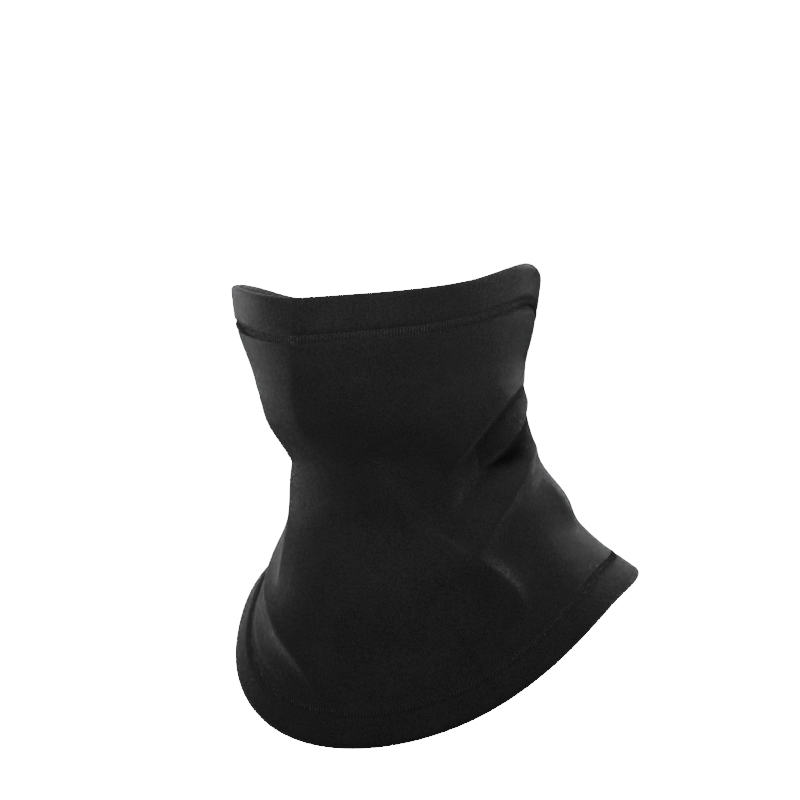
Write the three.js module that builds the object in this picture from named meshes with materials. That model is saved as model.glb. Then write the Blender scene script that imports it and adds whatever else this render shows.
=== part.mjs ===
// Fleece neck gaiter in the shape it has when worn: over the nose, round the neck and out over the shoulders.
// Millimetres, +Z up, -Y to the wearer's front, +X to the wearer's left.
// The origin is the middle of the collar, at the narrowest part, where the neck holds the gaiter.

import * as THREE from 'three';

// ---- driving dimensions -------------------------------------------------------------------------------------------

const FLEECE = 2.6; // one layer of fleece
const HEM_THICK = 5.0; // a turned hem is two layers, pressed a little by its stitches
const HEM_FOLD = 0.12; // share of the hem's height in which its folded edge is rounded
const FOLD_CORNER = 0.25; // how far in from the fold's corners its rounding starts, as a share
const TOP_HEM_TALL = 26.7; // depth of the face edge's turned hem, along the cloth
const BOTTOM_HEM_TALL = 23.8; // depth of the shoulder edge's turned hem
const PULL_DOWN = 80; // travel of the face edge, from the bridge of the nose to under the chin
const PULL_ROOM = 7; // room left under the face hem when it is pulled down
const GAP = 0.35; // clearance between pieces that lie on each other

const STITCH_INSET = 2.6; // from the hem's inner edge to the nearer needle row
const NEEDLE_ROW = 0.8; // height of one needle thread's row
const LADDER = 3.2; // height of the looper thread's ladder between the two needle rows
const THREAD_THICK = 0.6;

const SEAM_WIDE = 6; // overlocked seam allowance, inside the centre back
const SEAM_THICK = 2.4;
const SEAM_END = 1; // room between the seam allowance and the hems
const SEAM_DEPTH = FLEECE + 0.9; // the allowance lies just off the fleece
const OVERLOCK_WIDE = 5;
const LABEL_WIDE = 22; // blank care label, caught in the back seam
const LABEL_TALL = 34;
const LABEL_THICK = 0.6;
const LABEL_LEVEL = -0.4; // height of the label's middle, as a level
const LABEL_DEPTH = FLEECE + 1.1; // it lies just off the fleece

const STEPS_ROUND = 56;
const ROWS_FACE = 7;
const ROWS_NECK = 9;
const ROWS_HEM = 6;
const ROWS_SEAM = 12;
const ROWS_LABEL = 4;
const STEPS_STRIP = 4;

// Height of each edge round the body: a mean, then the cosines and the sines of the angle from the front.
const TOP_EDGE = { cosines: [95.1, 4.6, -6.3, 1.2, -0.7], sines: [0, 6.8, -4, -0.6, 0.9] };
const BOTTOM_EDGE = { cosines: [-88.3, -43, -16.6], sines: [0, -8] };

// Sections of the body by level: 1 is the top edge, 0 the collar and -1 the bottom edge.
// Each is [level, centre y, half width, half depth in front, half depth behind, fullness behind].
const SECTIONS = [
  [-1.0, 29, 107, 136, 104, 2.8],
  [-0.75, 26, 93, 115, 96, 2.5],
  [-0.5, 20, 80, 102, 82, 2.5],
  [-0.25, 16, 75, 85, 73, 2.4],
  [0.0, 2, 66, 87, 67, 2.3],
  [0.25, -16, 64.5, 98, 80, 2.2],
  [0.5, -27, 66, 99, 84, 2.0],
  [0.75, -30, 73.5, 104, 96, 2.0],
  [1.0, -30, 77, 108, 105, 2.0],
];
const FRONT_FULLNESS = 2.0;
const BY_EDGE = 0.9; // the level, up or down, at which a hem's height along the cloth is measured
const NORMAL_STEP = 1e-3; // small steps over the surface, for its normals and its lengths
const LENGTH_STEP = 0.02;

// ---- the body's surface -------------------------------------------------------------------------------------------

const sectionSize = SECTIONS[0].length - 1;
const sectionAt = new THREE.CubicInterpolant(
  SECTIONS.map((row) => row[0]),
  SECTIONS.flatMap((row) => row.slice(1)),
  sectionSize,
  new Array(sectionSize).fill(0),
);

function edgeHeight({ cosines, sines }, angle) {
  const even = cosines.reduce((sum, amount, n) => sum + amount * Math.cos(n * angle), 0);
  return sines.reduce((sum, amount, n) => sum + amount * Math.sin(n * angle), even);
}

// The height is a parabola in the level that passes through both edges and through 0 at the collar.
function heightTerms(angle) {
  const top = edgeHeight(TOP_EDGE, angle);
  const bottom = edgeHeight(BOTTOM_EDGE, angle);
  return { rise: (top - bottom) / 2, bow: (top + bottom) / 2 };
}

// Angle 0 is the wearer's front, and a quarter turn the wearer's left.
function outerPoint(angle, level) {
  const [centreY, halfWidth, front, behind, fullness] = sectionAt.evaluate(level);
  const { rise, bow } = heightTerms(angle);
  const sine = Math.sin(angle);
  const cosine = Math.cos(angle);
  const depth = cosine > 0 ? front : behind;
  const power = cosine > 0 ? FRONT_FULLNESS : fullness;
  const across = Math.pow(Math.abs(sine) / halfWidth, power);
  const along = Math.pow(Math.abs(cosine) / depth, power);
  const radius = Math.pow(across + along, -1 / power);
  return new THREE.Vector3(
    radius * sine,
    centreY - radius * cosine,
    rise * level + bow * level * level,
  );
}

function outwardNormal(angle, level) {
  const round = outerPoint(angle + NORMAL_STEP, level).sub(outerPoint(angle - NORMAL_STEP, level));
  const up = outerPoint(angle, level + NORMAL_STEP).sub(outerPoint(angle, level - NORMAL_STEP));
  return round.cross(up).normalize();
}

// A point of the cloth, that far inside the outer surface.
function clothPoint(angle, level, depth) {
  return outerPoint(angle, level).addScaledVector(outwardNormal(angle, level), -depth);
}

// How far the cloth runs for each unit of level.
function clothPerLevel(angle, level) {
  const length = outerPoint(angle, level + LENGTH_STEP).distanceTo(outerPoint(angle, level - LENGTH_STEP));
  return length / (2 * LENGTH_STEP);
}

// Levels of the lines round the body where one piece ends and the next begins.
const topEdge = () => 1;
const bottomEdge = () => -1;
const belowTop = (distance) => (angle) => 1 - distance / clothPerLevel(angle, BY_EDGE);
const aboveBottom = (distance) => (angle) => -1 + distance / clothPerLevel(angle, -BY_EDGE);

// The level that the face hem's inner edge comes down to when it is pulled down.
function pulledDown(extra) {
  return (angle) => {
    const { rise, bow } = heightTerms(angle);
    const hem = belowTop(TOP_HEM_TALL)(angle);
    const height = rise * hem + bow * hem * hem - PULL_DOWN - extra;
    return (2 * height) / (rise + Math.sqrt(rise * rise + 4 * bow * height));
  };
}

// ---- pieces -------------------------------------------------------------------------------------------------------

const fleeceLook = { color: 0x17181a, roughness: 0.95, metalness: 0 };
const threadLook = { color: 0x0e0f10, roughness: 0.7, metalness: 0 };
const labelLook = { color: 0x8f9092, roughness: 0.6, metalness: 0 };

const gaiter = new THREE.Group();

function add(name, geometry, look) {
  const mesh = new THREE.Mesh(geometry, new THREE.MeshStandardMaterial(look));
  mesh.name = name;
  gaiter.add(mesh);
}

// A closed band round the body. Its outline is turned as a lathe, and then laid on the body: the outline's x is the
// depth inside the outer surface and its y goes from 0 at the lower line to 1 at the upper line.
const LATHE_RADIUS = 100; // large enough that every depth stays on one side of the lathe's axis

function band(outline, lowerLine, upperLine) {
  const profile = outline.map(([depth, share]) => new THREE.Vector2(LATHE_RADIUS - depth, share));
  profile.push(profile[0].clone());
  const geometry = new THREE.LatheGeometry(profile, STEPS_ROUND);
  const place = geometry.attributes.position;
  for (let i = 0; i < place.count; i += 1) {
    const angle = Math.atan2(place.getX(i), place.getZ(i));
    const depth = LATHE_RADIUS - Math.hypot(place.getX(i), place.getZ(i));
    const level = THREE.MathUtils.lerp(lowerLine(angle), upperLine(angle), place.getY(i));
    const point = clothPoint(angle, level, depth);
    place.setXYZ(i, point.x, point.y, point.z);
  }
  geometry.computeVertexNormals();
  return geometry;
}

// Outline of a wall, with rows to follow the body's curve up both faces.
function wall(thickness, rows) {
  const outer = Array.from({ length: rows + 1 }, (_, i) => [0, i / rows]);
  const inner = outer.map(([, share]) => [thickness, share]).reverse();
  return [...outer, ...inner];
}

// Outline of a turned hem, rounded along its folded edge, which is the upper end of the outline.
function foldedWall(thickness, rows) {
  const stop = 1 - HEM_FOLD;
  const roundAt = 1 - HEM_FOLD * FOLD_CORNER;
  const outer = Array.from({ length: rows + 1 }, (_, i) => [0, (stop * i) / rows]);
  const inner = outer.map(([, share]) => [thickness, share]).reverse();
  const fold = [FOLD_CORNER, 1 - FOLD_CORNER].map((share) => [thickness * share, roundAt]);
  return [...outer, ...fold, ...inner];
}

function upsideDown(outline) {
  return outline.map(([depth, share]) => [depth, 1 - share]).reverse();
}

// A thread's row lies on the outside of the hem.
function threadOutline() {
  return [
    [-GAP - THREAD_THICK, 0],
    [-GAP - THREAD_THICK, 1],
    [-GAP, 1],
    [-GAP, 0],
  ];
}

function addHemThreads(hem, lineAt, hemTall) {
  const starts = [
    [`${hem}_needle_thread_inner`, STITCH_INSET, NEEDLE_ROW],
    [`${hem}_looper_thread`, STITCH_INSET + NEEDLE_ROW + GAP, LADDER],
    [`${hem}_needle_thread_outer`, STITCH_INSET + NEEDLE_ROW + LADDER + 2 * GAP, NEEDLE_ROW],
  ];
  for (const [name, start, tall] of starts) {
    const near = lineAt(hemTall - start);
    const far = lineAt(hemTall - start - tall);
    const lines = hem === 'top_hem' ? [near, far] : [far, near];
    add(name, band(threadOutline(), ...lines), threadLook);
  }
}

// A strip inside the back, beside the centre line. Its box's x runs round the body, y is the depth and z the level.
function backStrip(fromSide, toSide, depth, thickness, lowerLine, upperLine, rows) {
  const wide = toSide - fromSide;
  const geometry = new THREE.BoxGeometry(wide, thickness, 1, STEPS_STRIP, 1, rows);
  geometry.translate((fromSide + toSide) / 2, depth + thickness / 2, 0.5);
  const place = geometry.attributes.position;
  const back = Math.PI;
  for (let i = 0; i < place.count; i += 1) {
    const level = THREE.MathUtils.lerp(lowerLine(back), upperLine(back), place.getZ(i));
    const centreY = sectionAt.evaluate(level)[0];
    const radius = outerPoint(back, level).y - centreY;
    const point = clothPoint(back + place.getX(i) / radius, level, place.getY(i));
    place.setXYZ(i, point.x, point.y, point.z);
  }
  geometry.computeVertexNormals();
  return geometry;
}

function addFleece() {
  const hemOutline = foldedWall(HEM_THICK, ROWS_HEM);
  const faceEnd = belowTop(TOP_HEM_TALL + GAP);
  const neckEnd = aboveBottom(BOTTOM_HEM_TALL + GAP);
  add('top_hem', band(hemOutline, belowTop(TOP_HEM_TALL), topEdge), fleeceLook);
  add('bottom_hem', band(upsideDown(hemOutline), bottomEdge, aboveBottom(BOTTOM_HEM_TALL)), fleeceLook);
  add('face_section', band(wall(FLEECE, ROWS_FACE), pulledDown(PULL_ROOM), faceEnd), fleeceLook);
  add('neck_section', band(wall(FLEECE, ROWS_NECK), neckEnd, pulledDown(PULL_ROOM + GAP)), fleeceLook);
}

function addBackSeam() {
  const allowance = [-SEAM_WIDE / 2, SEAM_WIDE / 2, SEAM_DEPTH, SEAM_THICK];
  const overlock = [-OVERLOCK_WIDE / 2, OVERLOCK_WIDE / 2, SEAM_DEPTH + SEAM_THICK + GAP, THREAD_THICK];
  const stretches = [
    ['face', pulledDown(PULL_ROOM), belowTop(TOP_HEM_TALL + SEAM_END)],
    ['neck', aboveBottom(BOTTOM_HEM_TALL + SEAM_END), pulledDown(PULL_ROOM + SEAM_END)],
  ];
  for (const [name, lower, upper] of stretches) {
    add(`${name}_back_seam_allowance`, backStrip(...allowance, lower, upper, ROWS_SEAM), fleeceLook);
    add(`${name}_back_seam_thread`, backStrip(...overlock, lower, upper, ROWS_SEAM), threadLook);
  }
}

function addCareLabel() {
  const side = SEAM_WIDE / 2 + GAP;
  const half = LABEL_TALL / 2 / clothPerLevel(Math.PI, LABEL_LEVEL);
  const lower = () => LABEL_LEVEL - half;
  const upper = () => LABEL_LEVEL + half;
  const strip = [side, side + LABEL_WIDE, LABEL_DEPTH, LABEL_THICK];
  add('care_label', backStrip(...strip, lower, upper, ROWS_LABEL), labelLook);
}

addFleece();
addHemThreads('top_hem', belowTop, TOP_HEM_TALL);
addHemThreads('bottom_hem', aboveBottom, BOTTOM_HEM_TALL);
addBackSeam();
addCareLabel();

export default gaiter;
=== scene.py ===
"""A fleece neck gaiter as it is worn: over the nose, round the neck and out over the shoulders.

Everything is in metres in the frame's own axes: +Z up, -Y to the wearer's front, +X to the wearer's left.
The cloth's shape is worked out in millimetres, from an angle round the body and a level up it.
"""

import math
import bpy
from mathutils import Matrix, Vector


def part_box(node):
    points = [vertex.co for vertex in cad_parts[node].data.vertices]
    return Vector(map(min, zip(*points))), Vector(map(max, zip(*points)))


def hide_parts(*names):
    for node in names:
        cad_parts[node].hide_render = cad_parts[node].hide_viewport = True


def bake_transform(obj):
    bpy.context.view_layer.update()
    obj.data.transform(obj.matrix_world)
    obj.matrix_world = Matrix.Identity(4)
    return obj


bl_info = {
    "name": "Fleece Neck Gaiter",
    "version": (1, 0, 0),
    "blender": (4, 5, 0),
    "location": "View3D > Sidebar > Gaiter",
    "description": "Builds a worn fleece neck gaiter, with its hems, stitching, seam and label",
    "category": "Add Mesh",
}

import bpy
import numpy as np
from mathutils import Vector

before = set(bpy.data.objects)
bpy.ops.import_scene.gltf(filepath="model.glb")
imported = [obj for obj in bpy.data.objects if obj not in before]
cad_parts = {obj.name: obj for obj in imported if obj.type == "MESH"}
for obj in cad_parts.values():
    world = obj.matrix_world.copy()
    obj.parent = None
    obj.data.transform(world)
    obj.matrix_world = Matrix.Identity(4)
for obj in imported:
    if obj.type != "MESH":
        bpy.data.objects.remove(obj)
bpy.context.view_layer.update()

MM = 0.001

# ---- the body's shape, in millimetres ------------------------------------------------------------

# Height of each edge round the body: a mean, then the cosines and the sines of the angle from the front.
TOP_EDGE = ((95.1, 4.6, -6.3, 1.2, -0.7), (0.0, 6.8, -4.0, -0.6, 0.9))
BOTTOM_EDGE = ((-88.3, -43.0, -16.6), (0.0, -8.0))

# Sections by level: 1 is the top edge, 0 the collar and -1 the bottom edge.
# Each is level, centre y, half width, half depth in front, half depth behind, fullness behind.
SECTIONS = (
    (-1.00, 29, 107, 136, 104, 2.8),
    (-0.75, 26, 93, 115, 96, 2.5),
    (-0.50, 20, 80, 102, 82, 2.5),
    (-0.25, 16, 75, 85, 73, 2.4),
    (0.00, 2, 66, 87, 67, 2.3),
    (0.25, -16, 64.5, 98, 80, 2.2),
    (0.50, -27, 66, 99, 84, 2.0),
    (0.75, -30, 73.5, 104, 96, 2.0),
    (1.00, -30, 77, 108, 105, 2.0),
)
FRONT_FULLNESS = 2.0

# A fold's route is measured on the cloth laid flat: so many millimetres for a radian round and a level up.
FLAT_ROUND = 88.0
FLAT_TALL = 110.0


def smooth_between(a, b, c, d, t):
    """The value at the share t of the way from b to c, on a smooth curve that passes a, b, c and d."""
    return (2 * b + (c - a) * t + (2 * a - 5 * b + 4 * c - d) * t**2 + (3 * b - a - 3 * c + d) * t**3) / 2


def section_at(level):
    """The sections' values at each level, on a smooth curve through the rows."""
    rows = np.array(SECTIONS, float)
    place = (level - rows[0, 0]) / (rows[1, 0] - rows[0, 0])
    low = np.clip(np.floor(place), 0, len(rows) - 2).astype(int)
    t = (place - low)[..., None]
    ends = (2 * rows[0] - rows[1], *rows, 2 * rows[-1] - rows[-2])
    values = np.array(ends)[:, 1:]
    curve = smooth_between(*(values[low + k] for k in range(4)), t)
    return np.moveaxis(curve, -1, 0)


def edge_height(edge, angle):
    """The height in mm of an edge at each angle."""
    cosines, sines = edge
    height = sum(amount * np.cos(n * angle) for n, amount in enumerate(cosines))
    return height + sum(amount * np.sin(n * angle) for n, amount in enumerate(sines))


def base_point(angle, level):
    """The body's outer surface before any fold. Its height is a parabola in the level."""
    centre_y, half_width, front, behind, fullness = section_at(level)
    sine, cosine = np.sin(angle), np.cos(angle)
    depth = np.where(cosine > 0, front, behind)
    power = np.where(cosine > 0, FRONT_FULLNESS, fullness)
    across = (np.abs(sine) / half_width) ** power
    along = (np.abs(cosine) / depth) ** power
    radius = (across + along) ** (-1 / power)
    top, bottom = edge_height(TOP_EDGE, angle), edge_height(BOTTOM_EDGE, angle)
    height = (top - bottom) / 2 * level + (top + bottom) / 2 * level**2
    return np.stack([radius * sine, centre_y - radius * cosine, height], -1)


def normal_of(surface, angle, level, step=1e-3):
    """The outward normal of a surface that is given as a function of angle and level."""
    round_body = surface(angle + step, level) - surface(angle - step, level)
    up = surface(angle, level + step) - surface(angle, level - step)
    normal = np.cross(round_body, up)
    return normal / np.linalg.norm(normal, axis=-1, keepdims=True)


# ---- folds ---------------------------------------------------------------------------------------

# Each fold is a smooth line of (degrees from the front, level, height in mm), then how far it spreads to the
# left and to the right of the way the line runs, and how broadly its crest is rounded, all in millimetres.
# A negative height is a hollow.
FOLDS = (
    # the cloth is tented over the nose
    (
        ((2, 1.04, 5.5), (-1, 0.68, 7), (-4, 0.44, 6), (-7, 0.23, 3.6), (-13, 0.08, 0)),
        22, 24, 1.4,
    ),
    # the taut face panel rolls over its lower edge, from behind the left ear to the chin
    (
        ((165, 0.62, 0), (140, 0.57, 1.6), (117, 0.48, 3), (91, 0.405, 7), (75, 0.33, 8.4),
         (58, 0.2, 7.6), (46, 0.08, 5.4), (35, -0.04, 0)),
        3.6, 20, 2.6,
    ),
    # the second fold below it
    (
        ((160, 0.5, 0), (135, 0.42, 2), (112, 0.32, 4.4), (90, 0.19, 8.4), (76, 0.1, 7.4),
         (60, 0.0, 0)),
        3.6, 12, 3,
    ),
    # the hollow under the two folds
    (
        ((122, 0.1, 0), (104, 0.075, -5), (89, 0.04, -11), (71, -0.03, -15),
         (59, -0.09, -14), (48, -0.15, -10), (36, -0.23, 0)),
        8, 9, 4,
    ),
    # the fold where the neck meets the left shoulder
    (
        ((150, 0.12, 0), (125, 0.09, 1), (104, 0.02, 4), (83, -0.075, 9), (67, -0.15, 10),
         (55, -0.24, 8.4), (47, -0.335, 5), (40, -0.42, 0)),
        5, 8, 2.4,
    ),
    # the arc that runs from the chin out to the left shoulder
    (
        ((15, 0.05, 0), (16, -0.06, 6), (18, -0.15, 9), (23, -0.27, 10), (32, -0.375, 10),
         (42, -0.46, 9.5), (49, -0.54, 8), (54, -0.62, 5), (57, -0.75, 0)),
        6.5, 14, 3.2,
    ),
    # the soft ridge along the top of the left shoulder
    (
        ((98, -0.1, 0), (101, -0.2, 1.6), (102, -0.28, 2), (107, -0.385, 1.6),
         (110, -0.5, 0)),
        8, 8, 5,
    ),
    # the crease beside the chin on the right
    (
        ((-95, 0.03, 0), (-70, 0.01, -4), (-46, 0.005, -3), (-30, 0.005, -1.6),
         (-18, 0.0, -0.6), (-8, 0.0, 0)),
        5, 5, 1.5,
    ),
    # the neck's right edge, below the chin
    (
        ((-37, 0.14, 0), (-38, 0.0, 1.4), (-42, -0.16, 3), (-41, -0.3, 3.4),
         (-37, -0.4, 3.2), (-34, -0.5, 1.8), (-32, -0.58, 0)),
        16, 4, 1.4,
    ),
    # the cheek's right edge, over the jaw
    (
        ((-52, 1.0, 2.2), (-48, 0.7, 2.6), (-43, 0.4, 2.4), (-40, 0.2, 2), (-39, 0.06, 0)),
        18, 9, 3,
    ),
    # the cloth that rolls over the right shoulder, down to the hem
    (
        ((-75, -0.3, 0), (-68, -0.42, 1.5), (-60, -0.53, 3), (-47, -0.63, 4.4),
         (-33, -0.68, 5), (-24, -0.72, 4.8), (-15, -0.76, 4.2), (-8, -0.81, 3.4),
         (-2, -0.86, 2), (3, -0.91, 0)),
        12, 2.4, 1.2,
    ),
    # the hollow behind that roll
    (
        ((-120, -0.3, 0), (-98, -0.48, -2), (-80, -0.6, -3), (-63, -0.69, -2),
         (-48, -0.75, -1), (-35, -0.8, -0.5), (-24, -0.85, 0)),
        8, 10, 6,
    ),
    # the pinch of the seam down the back
    (
        ((180, 0.8, -0.9), (180, 0.0, -0.9), (180, -0.84, -0.9)),
        2.6, 2.6, 0.6,
    ),
    # two folds at the right side, from behind the ear towards the chin
    (
        ((-168, 0.56, 0), (-145, 0.5, 2), (-122, 0.42, 4.2), (-100, 0.31, 5),
         (-82, 0.2, 3.4), (-68, 0.1, 1), (-60, 0.04, 0)),
        20, 3, 1.8,
    ),
    (
        ((-165, 0.28, 0), (-142, 0.22, 2.4), (-116, 0.12, 4.6), (-94, 0.01, 5),
         (-77, -0.1, 2.8), (-64, -0.18, 0)),
        12, 3, 1.8,
    ),
    # the nape's crossways fold, and the two that run down from it over the shoulder blades
    (
        ((148, 0.26, 0), (166, 0.16, 3), (185, 0.12, 4.2), (206, 0.16, 3), (228, 0.24, 0)),
        4, 14, 2,
    ),
    (
        ((200, -0.06, 0), (212, -0.22, 3.4), (224, -0.4, 4.6), (233, -0.56, 3.4),
         (240, -0.72, 0)),
        9, 9, 5,
    ),
    (
        ((168, -0.04, 0), (160, -0.2, 3), (151, -0.38, 4.6), (145, -0.56, 3.4),
         (141, -0.74, 0)),
        9, 9, 5,
    ),
)


# Each wave of the sway is its turns round the body, its rise with the level, its start and its height in mm.
SWAY_WAVES = (
    (2, 1.7, 0.5, 0.5),
    (3, -2.9, 1.9, 0.45),
    (5, 3.7, 4.0, 0.3),
    (7, -5.3, 0.8, 0.22),
    (11, 6.1, 2.7, 0.12),
)


def smooth_line(points, share=5):
    """More points on a smooth curve through the given ones, so many for each stretch."""
    p = np.array(points, float)
    ends = np.array((2 * p[0] - p[1], *p, 2 * p[-1] - p[-2]))
    t = np.linspace(0, 1, share, endpoint=False)[:, None]
    stretches = [smooth_between(*four, t) for four in zip(ends, ends[1:], ends[2:], ends[3:])]
    return np.vstack([*stretches, p[-1:]])


def one_fold(angle, level, route, left, right, crest):
    """The height of one fold at points given as flat lists of angle and level."""
    line = smooth_line(route)
    middle = math.radians(line[:, 0].mean())
    turned = (angle - middle + math.pi) % (2 * math.pi) - math.pi
    here = np.stack([turned * FLAT_ROUND, level * FLAT_TALL], -1)
    corners = np.stack([(np.radians(line[:, 0]) - middle) * FLAT_ROUND, line[:, 1] * FLAT_TALL], -1)
    reach = 4 * max(left, right) + 2 * crest
    close = np.all((here > corners.min(0) - reach) & (here < corners.max(0) + reach), axis=-1)
    here = here[close]
    nearest = np.full(len(here), np.inf)
    height = np.zeros(len(here))
    side = np.zeros(len(here))
    for a, b, tall_a, tall_b in zip(corners, corners[1:], line[:, 2], line[1:, 2]):
        run = b - a
        share = np.clip((here - a) @ run / (run @ run), 0, 1)
        off = here - a - share[:, None] * run
        distance = np.hypot(off[:, 0], off[:, 1])
        closer = distance < nearest
        nearest = np.where(closer, distance, nearest)
        height = np.where(closer, tall_a + share * (tall_b - tall_a), height)
        side = np.where(closer, run[0] * off[:, 1] - run[1] * off[:, 0], side)
    away = np.sqrt(nearest**2 + crest**2) - crest
    spread = np.where(side > 0, left, right)
    raised = np.zeros(len(close))
    raised[close] = height * np.exp(-away / spread)
    return raised


def sway(angle, level):
    """The slight unevenness of cloth that hangs freely."""
    waves = (tall * np.sin(turns * angle + rise * level + start) for turns, rise, start, tall in SWAY_WAVES)
    return sum(waves)


def relief(angle, level):
    """How far the cloth stands out from the base surface."""
    angle, level = np.broadcast_arrays(angle, level)
    total = sway(angle, level).ravel()
    for fold in FOLDS:
        total += one_fold(angle.ravel(), level.ravel(), *fold)
    return total.reshape(angle.shape)


def outer_surface(angle, level):
    raised = relief(angle, level)[..., None]
    return base_point(angle, level) + normal_of(base_point, angle, level) * raised


def cloth_point(angle, level, depth):
    """A point of the cloth, that many millimetres inside its outer surface, in metres."""
    inward = normal_of(outer_surface, angle, level) * np.asarray(depth, float)[..., None]
    return (outer_surface(angle, level) - inward) * MM


def cloth_per_level(angle, level, step=0.02):
    """How many millimetres of cloth there are to each unit of level."""
    run = base_point(angle, level + step) - base_point(angle, level - step)
    return np.linalg.norm(run, axis=-1) / (2 * step)


# The level near each edge at which the cloth to a unit of level is measured.
NEAR_EDGE = 0.9


def below_top(angle, distance):
    """The level that lies so many millimetres of cloth below the top edge."""
    return 1 - distance / cloth_per_level(angle, NEAR_EDGE + 0 * angle)


def above_bottom(angle, distance):
    """The level that lies so many millimetres of cloth above the bottom edge."""
    return -1 + distance / cloth_per_level(angle, -NEAR_EDGE + 0 * angle)


# ---- what a user would change --------------------------------------------------------------------


def length(name, description, default_mm):
    return bpy.props.FloatProperty(
        name=name, description=description, default=default_mm * MM, min=0, unit="LENGTH", precision=4
    )


def angle_of(name, description, default_degrees):
    return bpy.props.FloatProperty(
        name=name, description=description, default=math.radians(default_degrees), subtype="ANGLE"
    )


def colour(name, description, default):
    return bpy.props.FloatVectorProperty(
        name=name, description=description, default=default, size=3, min=0, max=1, subtype="COLOR"
    )


class GaiterCloth(bpy.types.PropertyGroup):
    """The fleece and its hems"""

    fleece: length("Fleece", "Thickness of one layer of fleece", 2.3)
    hem: length("Hem", "Thickness of a turned hem, two layers", 4.9)
    hem_top: length("Face hem", "From the face edge to the middle of its stitching", 21.7)
    hem_bottom: length("Shoulder hem", "From the shoulder edge to the middle of its stitching", 18.8)
    turning: length("Turning", "How far a turned hem runs on past the middle of its stitching", 4.6)
    groove: length("Groove", "How far the stitching pulls the cloth in beside the hem", 0.7)
    puff: length("Puff", "How far the two layers of a hem stand out from the single one", 0.3)
    shade: colour("Fleece colour", "Colour of the brushed pile", (0.0135, 0.0135, 0.014))
    bloom: bpy.props.FloatProperty(
        name="Bloom",
        description="Strength of the pale sheen of the pile",
        default=0.32,
        min=0,
        max=1,
        subtype="FACTOR",
    )


class GaiterStitching(bpy.types.PropertyGroup):
    """The threads of the hems and of the back seam"""

    thread: length("Thread", "Thickness of a sewing thread", 0.5)
    ladder: length("Ladder", "Height of the ladder between the two needle rows", 4.4)
    rung: length("Rung pitch", "Distance from one rung of the ladder to the next", 1.8)
    stitch: length("Needle stitch", "Length of one needle stitch with its gap", 2.6)
    overlock: length("Overlock pitch", "Distance from one loop of the back seam to the next", 2.4)
    shade: colour("Thread colour", "Colour of the sewing thread", (0.0105, 0.0105, 0.011))


class GaiterSeam(bpy.types.PropertyGroup):
    """The back seam, inside, and the label that is caught in it"""

    allowance: length("Seam allowance", "Width of the sewn seam allowance", 6.0)
    label_wide: length("Label width", "Width of the label's tape", 22.0)
    label_tall: length("Label height", "Height of the label", 32.0)
    label_shade: colour("Label colour", "Colour of the satin tape", (0.42, 0.42, 0.43))


class GaiterStudio(bpy.types.PropertyGroup):
    """Camera, lights and floor"""

    azimuth: angle_of("Azimuth", "Turn of the camera to the wearer's left", 27)
    elevation: angle_of("Elevation", "Height of the camera over the collar", 2.5)
    distance: length("Distance", "From the camera to the gaiter", 2400.0)
    breadth: length("Breadth", "Breadth of the picture at the gaiter", 444.4)
    floor: length("Floor", "How far the floor lies under the collar", 600.0)


# ---- mesh helpers --------------------------------------------------------------------------------


JOIN_DISTANCE = 1e-6

# Edges that turn by more than this many degrees look sharp.
CLOTH_SHARP = 60
STRIP_SHARP = 50


def select_none():
    if bpy.context.object and bpy.context.object.mode != "OBJECT":
        bpy.ops.object.mode_set(mode="OBJECT")
    bpy.ops.object.select_all(action="DESELECT")


def points_of(piece):
    place = np.empty(len(piece.data.vertices) * 3)
    piece.data.vertices.foreach_get("co", place)
    return place.reshape(-1, 3)


def set_points(piece, place):
    piece.data.vertices.foreach_set("co", np.asarray(place, np.float32).ravel())
    piece.data.update()


def named(name):
    piece = bpy.context.object
    piece.name = piece.data.name = name
    return piece


def cloth_grid(name, columns, rows):
    """A flat piece of cloth with its corners at 0 and 1, as it is cut."""
    select_none()
    bpy.ops.mesh.primitive_grid_add(x_subdivisions=columns, y_subdivisions=rows, size=1, location=(0, 0, 0))
    piece = named(name)
    return piece, points_of(piece)[:, :2] + 0.5


def edit_all():
    """Edit mode on the active piece, with all of it selected."""
    bpy.ops.object.mode_set(mode="EDIT")
    bpy.ops.mesh.select_all(action="SELECT")


def turn_faces_out():
    edit_all()
    bpy.ops.mesh.normals_make_consistent(inside=False)
    bpy.ops.object.mode_set(mode="OBJECT")


def smooth_shading(sharp_degrees):
    bpy.ops.object.shade_smooth_by_angle(angle=math.radians(sharp_degrees))


def sew():
    """Joins the active piece's edges that meet, and turns every face outwards."""
    edit_all()
    bpy.ops.mesh.remove_doubles(threshold=JOIN_DISTANCE)
    bpy.ops.mesh.normals_make_consistent(inside=False)
    bpy.ops.object.mode_set(mode="OBJECT")
    smooth_shading(CLOTH_SHARP)


def add_modifier(piece, kind, **values):
    modifier = piece.modifiers.new(kind.lower(), kind)
    for key, value in values.items():
        setattr(modifier, key, value)
    bpy.context.view_layer.objects.active = piece
    bpy.ops.object.modifier_apply(modifier=modifier.name)


# The columns are closest over the folds at the wearer's left front.
CLOSE_ANGLE = math.radians(30)
CLOSENESS = 0.3


def roll_round(share):
    """The angle of each column. The cloth's two sides meet at the back."""
    turn = (share - 0.5) * 2 * math.pi
    return turn - CLOSENESS * (np.sin(turn - CLOSE_ANGLE) - math.sin(CLOSE_ANGLE))


# ---- pieces --------------------------------------------------------------------------------------

COLUMNS = 400
OUTER_ROWS = 150
INNER_ROWS = 80
HEM_ROWS = 44

# The inner needle row pulls the single cloth in by so much, over so wide a band, in millimetres.
NEEDLE_DEEP = 0.45
NEEDLE_WIDE = 0.8

# A hem swells to its full puff over so many millimetres from its stitching, and over so many from its edge.
SWELL_FROM_SEAM = 2.5
SWELL_FROM_EDGE = 5


def on_cloth(piece):
    """What all the pieces share: each piece's placement is baked into its points.
    """
    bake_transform(piece)


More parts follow.
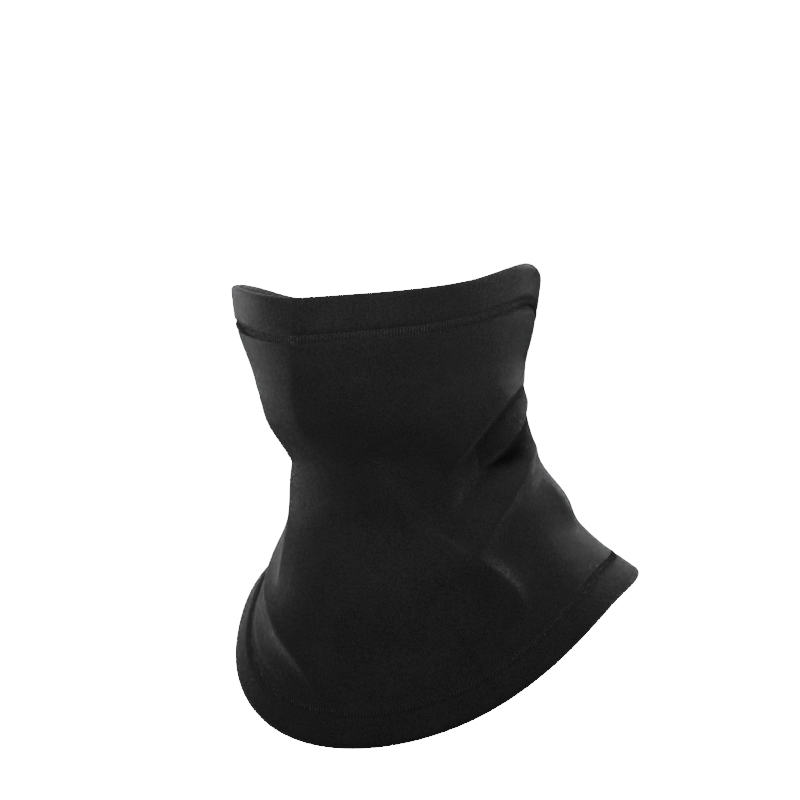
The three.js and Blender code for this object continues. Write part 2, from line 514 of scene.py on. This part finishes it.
def beside_seam(distance, deep, wide=1.3):
    """How far in the stitching pulls the cloth, by the distance in mm from the line that it pulls on."""
    return deep * np.exp(-((distance / wide) ** 2))


class GAITER_OT_fleece(bpy.types.Operator):
    """Rolls the fleece into a tube and shapes it on the body"""

    bl_idname = "gaiter.fleece"
    bl_label = "Fleece tube"

    def execute(self, context):
        cloth, thread = context.scene.gaiter_cloth, context.scene.gaiter_stitching
        half = thread.ladder / 2
        piece, share = cloth_grid("fleece_tube", COLUMNS, OUTER_ROWS + INNER_ROWS)
        angle = roll_round(share[:, 0])
        rows = OUTER_ROWS + INNER_ROWS
        row = share[:, 1] * rows
        up = np.interp(row, (0, OUTER_ROWS, OUTER_ROWS + 1, rows - 1, rows), (0, 1, 1, 0, 0))
        outside = (row < OUTER_ROWS + 0.5) | (row > rows - 0.5)
        lower = above_bottom(angle, (cloth.hem_bottom - half) / MM)
        upper = below_top(angle, (cloth.hem_top - half) / MM)
        level = lower + (upper - lower) * up
        from_end = np.minimum(level - lower, upper - level) * FLAT_TALL
        pulled = beside_seam(from_end, cloth.groove / MM)
        ladder_end = thread.ladder / MM
        pulled += beside_seam(from_end - ladder_end, NEEDLE_DEEP, NEEDLE_WIDE)
        depth = pulled + np.where(outside, 0, cloth.fleece / MM)
        set_points(piece, cloth_point(angle, level, depth))
        sew()
        piece.data.materials.append(fleece_material(cloth))
        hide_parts("face_section", "neck_section")
        on_cloth(piece)
        return {"FINISHED"}


def hem_path(share, fold_mm, thick_mm, turning_mm):
    """Distance from the edge and depth, along a turned hem from its stitching to its raw edge."""
    radius = thick_mm / 2
    outer = fold_mm - radius
    bend = math.pi * radius
    inner = fold_mm + turning_mm - radius
    run = share * (outer + bend + inner)
    turn = np.clip((run - outer) / radius, 0, math.pi)
    past = run > outer + bend
    from_edge = np.where(run < outer, fold_mm - run, radius - radius * np.sin(turn))
    from_edge = np.where(past, radius + run - outer - bend, from_edge)
    return from_edge, radius - radius * np.cos(turn)


def make_hem(cloth, name, fold, ladder, line_at):
    """A hem folded round its edge. The middle of its stitching lies at the distance fold from that edge."""
    piece, share = cloth_grid(name, COLUMNS, HEM_ROWS)
    angle = roll_round(share[:, 0])
    up = share[:, 1] if line_at is below_top else 1 - share[:, 1]
    edge_to_seam = (fold - ladder / 2) / MM
    from_edge, depth = hem_path(up, edge_to_seam, cloth.hem / MM, (cloth.turning + ladder / 2) / MM)
    outside = depth < cloth.hem / MM / 2
    from_seam = edge_to_seam - from_edge
    pulled = beside_seam(from_seam, cloth.groove / MM)
    swell = np.clip(from_seam / SWELL_FROM_SEAM, 0, 1) * np.clip(from_edge / SWELL_FROM_EDGE, 0, 1) ** 0.5
    depth = depth + np.where(outside, pulled - cloth.puff / MM * swell, 0)
    set_points(piece, cloth_point(angle, line_at(angle, from_edge), depth))
    sew()
    add_modifier(piece, "SOLIDIFY", thickness=cloth.fleece, offset=-1.0, use_quality_normals=True)
    smooth_shading(CLOTH_SHARP)
    piece.data.materials.append(fleece_material(cloth))
    return piece


class GAITER_OT_hems(bpy.types.Operator):
    """Turns the hems at the face edge and at the shoulder edge"""

    bl_idname = "gaiter.hems"
    bl_label = "Turned hems"

    def execute(self, context):
        cloth, thread = context.scene.gaiter_cloth, context.scene.gaiter_stitching
        top = make_hem(cloth, "face_hem", cloth.hem_top, thread.ladder, below_top)
        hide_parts("top_hem")
        on_cloth(top)
        bottom = make_hem(cloth, "shoulder_hem", cloth.hem_bottom, thread.ladder, above_bottom)
        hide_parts("bottom_hem")
        on_cloth(bottom)
        return {"FINISHED"}


# ---- stitches ------------------------------------------------------------------------------------


# A stitch's ends dive by this share of its thickness, and narrow by this share of its width.
END_DIVE = 0.9
END_TAPER = 0.35

# In millimetres: how far the outer needle row lies over its groove's bottom, and how deep the others lie.
OUTER_ROW_RISE = 0.1
INNER_ROW_DEPTH = 0.35
LADDER_DEPTH = 0.15


def one_stitch(name, thickness, tall, lean, arch, rounds=6, steps=6):
    """A short thread along Y that comes up out of the cloth and goes back into it."""
    select_none()
    bpy.ops.mesh.primitive_cylinder_add(
        vertices=rounds,
        radius=thickness / 2,
        depth=tall,
        end_fill_type="TRIFAN",
        rotation=(math.pi / 2, 0, 0),
    )
    bpy.ops.object.transform_apply(location=False, rotation=True, scale=False)
    piece = named(name)
    bpy.ops.object.mode_set(mode="EDIT")
    for cut_at in range(1, steps):
        place = tall * (cut_at / steps - 0.5)
        bpy.ops.mesh.select_all(action="SELECT")
        bpy.ops.mesh.bisect(plane_co=(0, place, 0), plane_no=(0, 1, 0))
    bpy.ops.object.mode_set(mode="OBJECT")
    place = points_of(piece)
    along = place[:, 1] / tall * 2
    place[:, 2] += arch * (1 - along**2) - thickness * END_DIVE * along**8
    place[:, 0] = place[:, 0] * (1 - END_TAPER * along**6) + lean * along / 2
    set_points(piece, place)
    return piece


def repeat_along(piece, pitch, count):
    add_modifier(
        piece,
        "ARRAY",
        count=count,
        use_relative_offset=False,
        use_constant_offset=True,
        constant_offset_displace=(pitch, 0, 0),
    )
    bpy.ops.object.shade_smooth()


SEAM_STEPS = 1440


def seam_line(line_at, distance_mm):
    """Angles at equal steps along a line that runs round the body, with the line's length in metres."""
    angle = np.linspace(-math.pi, math.pi, SEAM_STEPS + 1)
    place = cloth_point(angle, line_at(angle, distance_mm), 0 * angle)
    run = np.concatenate([[0], np.cumsum(np.linalg.norm(np.diff(place, axis=0), axis=1))])
    return angle, run


def lay_round(piece, line_at, distance_mm, depth_mm, row_length):
    """Lays a straight row of stitches on the cloth. X runs round the body, Y to the edge and Z outwards."""
    flat = points_of(piece)
    angle, run = seam_line(line_at, distance_mm)
    turn = np.interp(flat[:, 0] / row_length * run[-1] % run[-1], run, angle)
    level = line_at(turn, distance_mm - flat[:, 1] / MM)
    set_points(piece, cloth_point(turn, level, depth_mm - flat[:, 2] / MM))


def stitch_row(name, thread, line_at, distance, depth_mm, pitch, tall, lean, arch, turned=False):
    """One row of stitches round the body, that far from the edge.

    A stitch is tall along its thread, leans by so much from one end to the other, and arches outwards.
    Turned stitches lie along the row, and the others across it.
    """
    _, run = seam_line(line_at, distance / MM)
    count = round(run[-1] / pitch)
    piece = one_stitch(name, thread.thread, tall, lean, arch, steps=4 if turned else 6)
    if turned:
        place = points_of(piece)
        set_points(piece, np.stack([place[:, 1], -place[:, 0], place[:, 2]], -1))
    repeat_along(piece, pitch, count)
    lay_round(piece, line_at, distance / MM, depth_mm, count * pitch)
    piece.data.materials.append(thread_material(thread))
    on_cloth(piece)
    return piece


class GAITER_OT_hem_stitches(bpy.types.Operator):
    """Sews the ladder and the two needle rows round each hem"""

    bl_idname = "gaiter.hem_stitches"
    bl_label = "Hem stitches"

    def execute(self, context):
        cloth, thread = context.scene.gaiter_cloth, context.scene.gaiter_stitching
        half = thread.ladder / 2
        needle = (thread.stitch, thread.stitch * 0.9, 0, thread.thread * 0.3)
        rungs = (thread.rung, thread.ladder, thread.rung * 0.3, thread.thread * 0.4)
        edge_depth, body_depth = cloth.groove / MM - OUTER_ROW_RISE, INNER_ROW_DEPTH
        for hem, fold, line_at, node in (
            ("face_hem", cloth.hem_top, below_top, "top_hem"),
            ("shoulder_hem", cloth.hem_bottom, above_bottom, "bottom_hem"),
        ):
            edge_row = stitch_row(
                f"{hem}_needle_row_outer", thread, line_at, fold - half, edge_depth, *needle, turned=True
            )
            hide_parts(f"{node}_needle_thread_outer")
            body_row = stitch_row(
                f"{hem}_needle_row_inner", thread, line_at, fold + half, body_depth, *needle, turned=True
            )
            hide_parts(f"{node}_needle_thread_inner")
            ladder = stitch_row(f"{hem}_ladder", thread, line_at, fold, LADDER_DEPTH, *rungs)
            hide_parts(f"{node}_looper_thread")
        return {"FINISHED"}


# ---- back seam and label -------------------------------------------------------------------------


# Everything here is in metres. The depths are measured inwards from the fleece's inner face.
ALLOWANCE_DEPTH = 0.0026
ALLOWANCE_CROWN = 0.0005
ALLOWANCE_RIPPLE = 0.00025
ALLOWANCE_THICK = 0.0022
OVERLOCK_DEPTH = 0.0031
OVERLOCK_ARCH = 0.0006
LABEL_DEPTH = 0.0014
LABEL_LIFT = 0.0011
LABEL_WAVE = 0.0004
LABEL_WAVE_LENGTH = 0.011
LABEL_GAP = 0.0004
LABEL_THICK = 0.0005

# Steps up the back when its length is measured, and when the label's level is found.
BACK_STEPS = 60
LABEL_STEPS = 200


def lay_on_back(piece, lower, upper, tall):
    """Lays a flat strip inside the centre back. Its X runs round the body, Y up it and Z inwards."""
    flat = points_of(piece)
    level = lower + (upper - lower) * flat[:, 1] / tall
    back = np.full(len(flat), math.pi)
    radius = base_point(back, level)[:, 1] - section_at(level)[0]
    angle = back + flat[:, 0] / MM / radius
    set_points(piece, cloth_point(angle, level, flat[:, 2] / MM))


def up_the_back(lower, upper, steps):
    """Levels up the centre back, and the cloth's outer face at each."""
    levels = np.linspace(lower, upper, steps)
    return levels, cloth_point(np.full(steps, math.pi), levels, np.zeros(steps))


def back_reach(cloth):
    """Levels at which the back seam's visible part starts and ends, and its length in metres."""
    back = np.array([math.pi])
    lower = above_bottom(back, (cloth.hem_bottom + cloth.turning) / MM + 1)[0]
    upper = below_top(back, (cloth.hem_top + cloth.turning) / MM + 1)[0]
    _, place = up_the_back(lower, upper, BACK_STEPS)
    return lower, upper, np.linalg.norm(np.diff(place, axis=0), axis=1).sum()


class GAITER_OT_back_seam(bpy.types.Operator):
    """Sews the tube's back seam, with its overlocked allowance inside"""

    bl_idname = "gaiter.back_seam"
    bl_label = "Back seam"

    def execute(self, context):
        cloth, thread = context.scene.gaiter_cloth, context.scene.gaiter_stitching
        seam = context.scene.gaiter_seam
        lower, upper, tall = back_reach(cloth)
        strip, share = cloth_grid("back_seam_allowance", 16, 90)
        across = (share[:, 0] - 0.5) * seam.allowance
        along = share[:, 1] * tall
        from_middle = 2 * share[:, 0] - 1
        crown = ALLOWANCE_CROWN * (1 - from_middle**4)
        ripple = ALLOWANCE_RIPPLE * np.sin(along / thread.overlock * 2 * math.pi) * from_middle**2
        set_points(strip, np.stack([across + ripple, along, cloth.fleece + ALLOWANCE_DEPTH + crown], -1))
        lay_on_back(strip, lower, upper, tall)
        edit_all()
        bpy.ops.mesh.flip_normals()
        bpy.ops.object.mode_set(mode="OBJECT")
        add_modifier(strip, "SOLIDIFY", thickness=ALLOWANCE_THICK, offset=-1.0)
        smooth_shading(STRIP_SHARP)
        strip.data.materials.append(fleece_material(cloth))
        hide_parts("face_back_seam_allowance", "neck_back_seam_allowance")
        on_cloth(strip)

        count = round(tall / thread.overlock)
        across, lean = seam.allowance * 0.98, thread.overlock * 0.9
        loops = one_stitch("back_seam_overlock", thread.thread, across, lean, OVERLOCK_ARCH)
        repeat_along(loops, thread.overlock, count)
        place = points_of(loops)
        up = (place[:, 0] + thread.overlock / 2) * tall / (count * thread.overlock)
        set_points(loops, np.stack([place[:, 1], up, cloth.fleece + OVERLOCK_DEPTH + place[:, 2]], -1))
        lay_on_back(loops, lower, upper, tall)
        turn_faces_out()
        loops.data.materials.append(thread_material(thread))
        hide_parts("face_back_seam_thread", "neck_back_seam_thread")
        on_cloth(loops)
        return {"FINISHED"}


class GAITER_OT_label(bpy.types.Operator):
    """Folds a blank tape into the back seam as a care label"""

    bl_idname = "gaiter.label"
    bl_label = "Care label"

    def execute(self, context):
        cloth, seam = context.scene.gaiter_cloth, context.scene.gaiter_seam
        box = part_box("care_label")
        label, share = cloth_grid("care_label_tape", 24, 36)
        across = share[:, 0] * seam.label_wide
        along = share[:, 1] * seam.label_tall
        lift = LABEL_LIFT * share[:, 0] ** 2
        wave = LABEL_WAVE * np.sin(along / LABEL_WAVE_LENGTH + 0.6) * share[:, 0]
        beside = -seam.allowance / 2 - LABEL_GAP - across
        set_points(label, np.stack([beside, along, cloth.fleece + LABEL_DEPTH + lift + wave], -1))
        middle = (box[0].z + box[1].z) / 2
        lower, upper, tall = back_reach(cloth)
        levels, place = up_the_back(lower, upper, LABEL_STEPS)
        centre = np.interp(middle, place[:, 2], levels)
        half = (upper - lower) * seam.label_tall / tall / 2
        lay_on_back(label, centre - half, centre + half, seam.label_tall)
        add_modifier(label, "SOLIDIFY", thickness=LABEL_THICK, offset=0.0)
        turn_faces_out()
        smooth_shading(STRIP_SHARP)
        label.data.materials.append(label_material(seam))
        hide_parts("care_label")
        on_cloth(label)
        return {"FINISHED"}


# ---- materials -----------------------------------------------------------------------------------


# The tint of the fleece's sheen.
PALE_TINT = (0.9, 0.9, 0.92, 1)


def new_material(name):
    made = bpy.data.materials.new(name)
    made.use_nodes = True
    nodes, links = made.node_tree.nodes, made.node_tree.links
    shader = nodes["Principled BSDF"]
    place = nodes.new("ShaderNodeTexCoord")
    return made, nodes, links, shader, place


def set_inputs(node, values):
    for key, value in values.items():
        node.inputs[key].default_value = value


def pattern(nodes, links, place, kind, **values):
    """A texture that lies in the object's own coordinates."""
    made = nodes.new(kind)
    set_inputs(made, values)
    links.new(place.outputs["Object"], made.inputs["Vector"])
    return made


def shades(nodes, links, source, low, high, start=0.3, end=0.7):
    """Colours between two shades, by a pattern's value."""
    ramp = nodes.new("ShaderNodeValToRGB")
    ramp.color_ramp.elements[0].position, ramp.color_ramp.elements[1].position = start, end
    ramp.color_ramp.elements[0].color = (*low, 1)
    ramp.color_ramp.elements[1].color = (*high, 1)
    links.new(source, ramp.inputs["Fac"])
    return ramp.outputs["Color"]


def add_values(nodes, links, first, second, factor):
    """The first value, and the second one times the factor, added up."""
    made = nodes.new("ShaderNodeMath")
    made.operation = "MULTIPLY_ADD"
    made.inputs[1].default_value = factor
    links.new(second, made.inputs[0])
    links.new(first, made.inputs[2])
    return made.outputs[0]


def emboss(nodes, links, shader, height, distance, strength):
    """Fine relief, so many metres high at most."""
    bump = nodes.new("ShaderNodeBump")
    set_inputs(bump, {"Distance": distance, "Strength": strength})
    links.new(height, bump.inputs["Height"])
    links.new(bump.outputs["Normal"], shader.inputs["Normal"])


def fleece_material(cloth):
    """Brushed microfleece: matted pebbles about a millimetre across, fine fuzz, and a pale bloom."""
    if "brushed_fleece" in bpy.data.materials:
        return bpy.data.materials["brushed_fleece"]
    made, nodes, links, shader, place = new_material("brushed_fleece")
    pebbles = pattern(nodes, links, place, "ShaderNodeTexNoise", Scale=1050.0, Detail=2.0, Roughness=0.6)
    fuzz = pattern(nodes, links, place, "ShaderNodeTexNoise", Scale=2100.0, Detail=3.0, Roughness=0.7)
    matting = pattern(nodes, links, place, "ShaderNodeTexNoise", Scale=55.0, Detail=3.0, Roughness=0.6)
    grain = add_values(nodes, links, pebbles.outputs["Fac"], fuzz.outputs["Fac"], 0.35)
    tone = add_values(nodes, links, grain, matting.outputs["Fac"], 0.25)
    shade = np.array(cloth.shade)
    pile = shades(nodes, links, tone, shade * 0.5, shade * 1.7, 0.55, 1.05)
    links.new(pile, shader.inputs["Base Color"])
    set_inputs(shader, {"Roughness": 0.95, "Specular IOR Level": 0.15})
    set_inputs(shader, {"Sheen Weight": cloth.bloom, "Sheen Roughness": 0.32, "Sheen Tint": PALE_TINT})
    emboss(nodes, links, shader, grain, 0.0006, 0.7)
    return made


def thread_material(thread):
    """Spun polyester thread, with its twist."""
    if "sewing_thread" in bpy.data.materials:
        return bpy.data.materials["sewing_thread"]
    made, nodes, links, shader, place = new_material("sewing_thread")
    twist = pattern(nodes, links, place, "ShaderNodeTexNoise", Scale=2600.0, Detail=2.0, Roughness=0.6)
    shade = np.array(thread.shade)
    spun = shades(nodes, links, twist.outputs["Fac"], shade * 0.5, shade * 1.5)
    links.new(spun, shader.inputs["Base Color"])
    set_inputs(shader, {"Roughness": 0.6, "Specular IOR Level": 0.3})
    set_inputs(shader, {"Sheen Weight": 0.18, "Sheen Roughness": 0.4})
    emboss(nodes, links, shader, twist.outputs["Fac"], 0.0002, 0.6)
    return made


def label_material(seam):
    """Woven satin tape with fine cross ribs."""
    made, nodes, links, shader, place = new_material("satin_tape")
    ribs = pattern(nodes, links, place, "ShaderNodeTexWave", Scale=900.0, Distortion=0.6, Detail=2.0)
    ribs.bands_direction = "Z"
    threads = pattern(nodes, links, place, "ShaderNodeTexNoise", Scale=1500.0, Detail=2.0)
    weave = add_values(nodes, links, ribs.outputs["Fac"], threads.outputs["Fac"], 0.6)
    shade = np.array(seam.label_shade)
    satin = shades(nodes, links, weave, shade * 0.75, shade * 1.1, 0.2, 1.3)
    links.new(satin, shader.inputs["Base Color"])
    set_inputs(shader, {"Roughness": 0.38, "Specular IOR Level": 0.5})
    emboss(nodes, links, shader, weave, 0.00008, 0.5)
    return made


# ---- stage ---------------------------------------------------------------------------------------


# The point that the camera looks at, in metres: to the picture's left of the collar's middle, and over it.
AIM_LEFT = 0.0083
AIM_UP = 0.0333
SENSOR_MM = 36
CLIP_END = 100

# Strength of the white room as a light, and as the camera sees it.
ROOM_LIGHT = 0.24
ROOM_SEEN = 40.0

FLOOR_RADIUS = 2.0

# Each light's name, azimuth, elevation, distance, size and power, then the height it points at and its beam.
LIGHTS = (
    ("left_softbox", -86, 5, 1.8, (0.7, 1.8), 1.8, 0.0, 180),
    ("right_softbox", 140, 5, 1.8, (0.7, 1.8), 1.9, 0.0, 180),
    ("back_softbox", 195, 60, 1.6, (0.8, 0.8), 2.5, 0.0, 180),
    ("front_softbox", 20, 20, 1.0, (0.4, 0.4), 1.35, 0.2, 50),
)


def direction(azimuth, elevation):
    """A direction from the gaiter, by its turn to the wearer's left and its angle upwards, in radians."""
    flat = math.cos(elevation)
    return Vector((math.sin(azimuth) * flat, -math.cos(azimuth) * flat, math.sin(elevation)))


def face_gaiter(thing, toward):
    """Points a camera or a light back along the direction in which it lies."""
    thing.rotation_euler = (-toward).to_track_quat("-Z", "Y").to_euler()


def add_camera(studio):
    right = Vector((math.cos(studio.azimuth), math.sin(studio.azimuth), 0))
    toward = direction(studio.azimuth, studio.elevation)
    target = right * -AIM_LEFT + Vector((0, 0, AIM_UP))
    bpy.ops.object.camera_add(location=target + toward * studio.distance)
    camera = bpy.context.object
    camera.name = "studio_camera"
    face_gaiter(camera, toward)
    camera.data.sensor_width = SENSOR_MM
    camera.data.lens = SENSOR_MM * studio.distance / studio.breadth
    camera.data.clip_end = CLIP_END
    bpy.context.scene.camera = camera


def add_area_light(name, azimuth, elevation, distance, size, power, aim, beam):
    """A soft light that points at the gaiter at the height aim, with a beam of so many degrees."""
    toward = direction(math.radians(azimuth), math.radians(elevation))
    bpy.ops.object.light_add(type="AREA", location=toward * distance + Vector((0, 0, aim)))
    light = bpy.context.object
    light.name = name
    face_gaiter(light, toward)
    light.data.shape = "RECTANGLE"
    light.data.size, light.data.size_y = size
    light.data.energy = power
    light.data.spread = math.radians(beam)


def white_world(scene):
    """A white room that the camera sees as plain white, and that lights the gaiter far more softly."""
    world = bpy.data.worlds.new("white_room")
    scene.world = world
    world.use_nodes = True
    nodes, links = world.node_tree.nodes, world.node_tree.links
    soft = nodes["Background"]
    set_inputs(soft, {"Color": (1, 1, 1, 1), "Strength": ROOM_LIGHT})
    seen = nodes.new("ShaderNodeBackground")
    set_inputs(seen, {"Strength": ROOM_SEEN})
    ray = nodes.new("ShaderNodeLightPath")
    mix = nodes.new("ShaderNodeMixShader")
    links.new(ray.outputs["Is Camera Ray"], mix.inputs["Fac"])
    links.new(soft.outputs["Background"], mix.inputs[1])
    links.new(seen.outputs["Background"], mix.inputs[2])
    links.new(mix.outputs["Shader"], nodes["World Output"].inputs["Surface"])


def pale_floor(studio):
    select_none()
    bpy.ops.mesh.primitive_circle_add(
        vertices=96, radius=FLOOR_RADIUS, fill_type="TRIFAN", location=(0, 0, -studio.floor)
    )
    bpy.ops.object.transform_apply(location=True, rotation=False, scale=False)
    floor = named("studio_floor")
    made, nodes, links, shader, place = new_material("pale_floor")
    grain = pattern(nodes, links, place, "ShaderNodeTexNoise", Scale=30.0, Detail=2.0)
    pale = np.array((0.82, 0.82, 0.82))
    links.new(shades(nodes, links, grain.outputs["Fac"], pale * 0.98, pale), shader.inputs["Base Color"])
    set_inputs(shader, {"Roughness": 0.8})
    floor.data.materials.append(made)


class GAITER_OT_studio(bpy.types.Operator):
    """Sets up the camera, the soft lights and the pale floor"""

    bl_idname = "gaiter.studio"
    bl_label = "Studio"

    def execute(self, context):
        studio = context.scene.gaiter_studio
        select_none()
        add_camera(studio)
        for light in LIGHTS:
            add_area_light(*light)
        pale_floor(studio)
        white_world(context.scene)
        return {"FINISHED"}


class GAITER_PT_panel(bpy.types.Panel):
    """Lists the steps that build the gaiter"""

    bl_idname = "GAITER_PT_panel"
    bl_label = "Neck gaiter"
    bl_space_type = "VIEW_3D"
    bl_region_type = "UI"
    bl_category = "Gaiter"

    def draw(self, context):
        for step in STEPS:
            self.layout.operator(step.bl_idname)


STEPS = (
    GAITER_OT_fleece,
    GAITER_OT_hems,
    GAITER_OT_hem_stitches,
    GAITER_OT_back_seam,
    GAITER_OT_label,
    GAITER_OT_studio,
)
SETTINGS = {
    "gaiter_cloth": GaiterCloth,
    "gaiter_stitching": GaiterStitching,
    "gaiter_seam": GaiterSeam,
    "gaiter_studio": GaiterStudio,
}


def register():
    for kind in (*SETTINGS.values(), *STEPS, GAITER_PT_panel):
        bpy.utils.register_class(kind)
    for name, kind in SETTINGS.items():
        setattr(bpy.types.Scene, name, bpy.props.PointerProperty(type=kind))


def unregister():
    for name in SETTINGS:
        delattr(bpy.types.Scene, name)
    for kind in (GAITER_PT_panel, *reversed(STEPS), *SETTINGS.values()):
        bpy.utils.unregister_class(kind)


def main():
    register()
    bpy.ops.gaiter.fleece()
    bpy.ops.gaiter.hems()
    bpy.ops.gaiter.hem_stitches()
    bpy.ops.gaiter.back_seam()
    bpy.ops.gaiter.label()
    bpy.ops.gaiter.studio()


if __name__ == "__main__":
    main()
